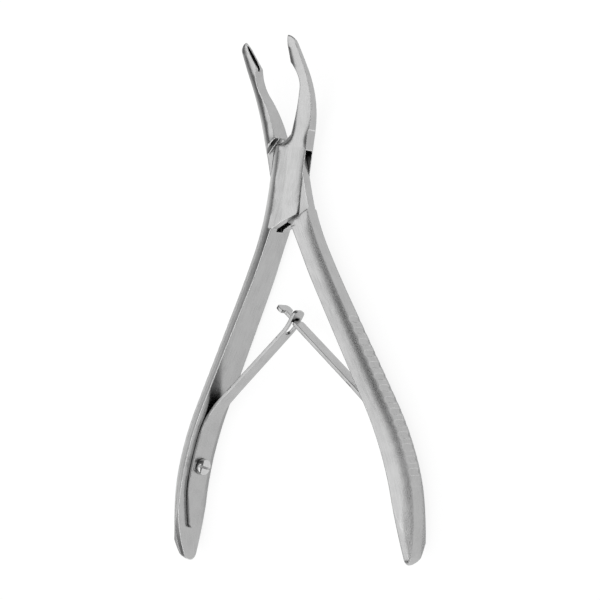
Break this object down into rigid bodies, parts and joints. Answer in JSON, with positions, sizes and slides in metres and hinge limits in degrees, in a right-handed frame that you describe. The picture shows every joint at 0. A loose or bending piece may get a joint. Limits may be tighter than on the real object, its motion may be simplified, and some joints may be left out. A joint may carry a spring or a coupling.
{
  "type": "bone rongeur",
  "caption": "Hand-held bone rongeur with upswept scoop jaws, a box lock and interlocking leaf springs that hold the handles open.",
  "frame": {"origin": "on the pivot axis, at the ground flat of the lower cheek of the lock", "axes": "+Y from the pivot towards the jaws, +Z along the pivot axis towards the side the jaws curve up to, +X towards the handle of the tongue arm"},
  "size_m": [0.0886, 0.1509, 0.0158],
  "materials": {
    "forged_arms": "satin, glass-beaded, with polished edges",
    "pivot_pin": "satin, ground flush with the cheeks",
    "leaf_springs": "satin spring steel",
    "spring_screws": "polished"
  },
  "bodies": {
    "box_side": {"box_arm": "forged_arms", "pivot_pin": "pivot_pin", "slotted_leaf_screw": "spring_screws"},
    "tongue_side": {"tongue_arm": "forged_arms", "tee_leaf_screw": "spring_screws"},
    "slotted_leaf": {"slotted_leaf_spring": "leaf_springs"},
    "tee_leaf": {"tee_leaf_spring": "leaf_springs"}
  },
  "joints": [
    {"name": "jaw_pivot", "type": "hinge", "parent": "box_side", "child": "tongue_side", "pos_m": [0, 0, 0.0041], "axis": [0, 0, -1], "range_deg": [0, 22.5], "stiffness_Nm_per_rad": 2.5, "springref_deg": -4.58},
    {"name": "slotted_leaf_flex", "type": "hinge", "parent": "box_side", "child": "slotted_leaf", "pos_m": [-0.0299, -0.0665, 0.0041], "axis": [0, 0, 1], "range_deg": [0, 12.6], "deforming": ["slotted_leaf_spring"]},
    {"name": "tee_leaf_flex", "type": "hinge", "parent": "tongue_side", "child": "tee_leaf", "pos_m": [0.0299, -0.0665, 0.0041], "axis": [0, 0, -1], "range_deg": [0, 15.3], "deforming": ["tee_leaf_spring"]}
  ],
  "couplings": [
    {"joint": "slotted_leaf_flex", "follows": "jaw_pivot", "ratio": 0.56},
    {"joint": "tee_leaf_flex", "follows": "jaw_pivot", "ratio": 0.68}
  ]
}
